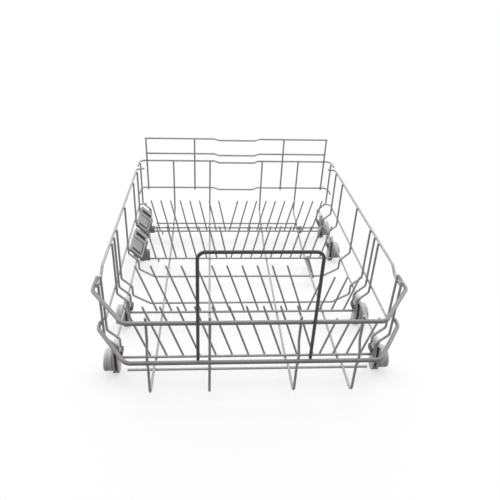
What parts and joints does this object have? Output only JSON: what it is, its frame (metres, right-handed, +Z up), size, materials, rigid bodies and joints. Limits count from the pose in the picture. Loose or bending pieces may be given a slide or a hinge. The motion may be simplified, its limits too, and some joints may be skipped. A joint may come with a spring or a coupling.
{
  "type": "dishwasher basket",
  "caption": "Lower dishwasher basket of welded coated wire on rollers, with fixed and folding tine rows, side latches, a raised rear guard and an upright front handle.",
  "frame": {"origin": "on the ground under the middle of the basket", "axes": "+Z up, the pull-out front with the handle faces -Y, +X to the right of someone facing the front"},
  "size_m": [0.504, 0.578, 0.3115],
  "materials": {
    "coated_wire": "satin grey coating",
    "front_wire": "satin grey coating on thicker wire",
    "moulding": "light warm grey moulding",
    "roller": "light warm grey moulding"
  },
  "bodies": {
    "basket": {"back_floor_wire": "coated_wire", "bearing_clip_back": "moulding", "bearing_clip_front": "moulding", "cross_wire_back": "coated_wire", "cross_wire_front": "coated_wire", "floor_runner_inner_left": "coated_wire", "floor_runner_inner_right": "coated_wire", "floor_runner_outer_left": "coated_wire", "floor_runner_outer_right": "coated_wire", "front_floor_wire": "coated_wire", "front_handle": "front_wire", "front_lower_rim": "front_wire", "front_upper_rim": "front_wire", "low_rail_left": "coated_wire", "low_rail_right": "coated_wire", "mid_rail_left": "coated_wire", "mid_rail_right": "coated_wire", "rear_lower_wire": "coated_wire", "rear_post_inner_left": "coated_wire", "rear_post_inner_right": "coated_wire", "rear_post_outer_left": "coated_wire", "rear_post_outer_right": "coated_wire", "rear_rim": "coated_wire", "rear_second_wire": "coated_wire", "rear_top_wire": "coated_wire", "row_latch_back": "moulding", "row_latch_front": "moulding", "side_rim_left": "coated_wire", "side_rim_right": "coated_wire", "stop_wire": "coated_wire", "tine_row_front": "coated_wire", "tine_row_third": "coated_wire", "wheel_bracket_back_left": "moulding", "wheel_bracket_back_right": "moulding", "wheel_bracket_front_left": "moulding", "wheel_bracket_front_right": "moulding", "wheel_bracket_second_left": "moulding", "wheel_bracket_second_right": "moulding", "wheel_bracket_third_left": "moulding", "wheel_bracket_third_right": "moulding", "wheel_loop_back_left": "coated_wire", "wheel_loop_back_right": "coated_wire", "wheel_loop_front_left": "coated_wire", "wheel_loop_front_right": "coated_wire", "wheel_loop_second_left": "coated_wire", "wheel_loop_second_right": "coated_wire", "wheel_loop_third_left": "coated_wire", "wheel_loop_third_right": "coated_wire"},
    "folding_row_back": {"folding_row_back": "coated_wire"},
    "folding_row_front": {"folding_row_front": "coated_wire"},
    "wheel_back_left": {"wheel_back_left": "roller"},
    "wheel_back_right": {"wheel_back_right": "roller"},
    "wheel_front_left": {"wheel_front_left": "roller"},
    "wheel_front_right": {"wheel_front_right": "roller"},
    "wheel_second_left": {"wheel_second_left": "roller"},
    "wheel_second_right": {"wheel_second_right": "roller"},
    "wheel_third_left": {"wheel_third_left": "roller"},
    "wheel_third_right": {"wheel_third_right": "roller"}
  },
  "joints": [
    {"name": "folding_row_back_fold", "type": "hinge", "parent": "basket", "child": "folding_row_back", "pos_m": [0, 0.2008, 0.0417], "axis": [1, 0, 0], "range_deg": [0, 85]},
    {"name": "folding_row_front_fold", "type": "hinge", "parent": "basket", "child": "folding_row_front", "pos_m": [0, 0.0973, 0.03172], "axis": [1, 0, 0], "range_deg": [0, 85]},
    {"name": "wheel_back_left_spin", "type": "hinge", "parent": "basket", "child": "wheel_back_left", "pos_m": [-0.2385, 0.24015, 0.0275], "axis": [1, 0, 0], "continuous": true},
    {"name": "wheel_back_right_spin", "type": "hinge", "parent": "basket", "child": "wheel_back_right", "pos_m": [0.2385, 0.24015, 0.0275], "axis": [1, 0, 0], "continuous": true},
    {"name": "wheel_front_left_spin", "type": "hinge", "parent": "basket", "child": "wheel_front_left", "pos_m": [-0.2385, -0.1942, 0.0275], "axis": [1, 0, 0], "continuous": true},
    {"name": "wheel_front_right_spin", "type": "hinge", "parent": "basket", "child": "wheel_front_right", "pos_m": [0.2385, -0.1942, 0.0275], "axis": [1, 0, 0], "continuous": true},
    {"name": "wheel_second_left_spin", "type": "hinge", "parent": "basket", "child": "wheel_second_left", "pos_m": [-0.2385, 0.137, 0.0275], "axis": [1, 0, 0], "continuous": true},
    {"name": "wheel_second_right_spin", "type": "hinge", "parent": "basket", "child": "wheel_second_right", "pos_m": [0.2385, 0.137, 0.0275], "axis": [1, 0, 0], "continuous": true},
    {"name": "wheel_third_left_spin", "type": "hinge", "parent": "basket", "child": "wheel_third_left", "pos_m": [-0.2385, -0.0822, 0.0275], "axis": [1, 0, 0], "continuous": true},
    {"name": "wheel_third_right_spin", "type": "hinge", "parent": "basket", "child": "wheel_third_right", "pos_m": [0.2385, -0.0822, 0.0275], "axis": [1, 0, 0], "continuous": true}
  ]
}
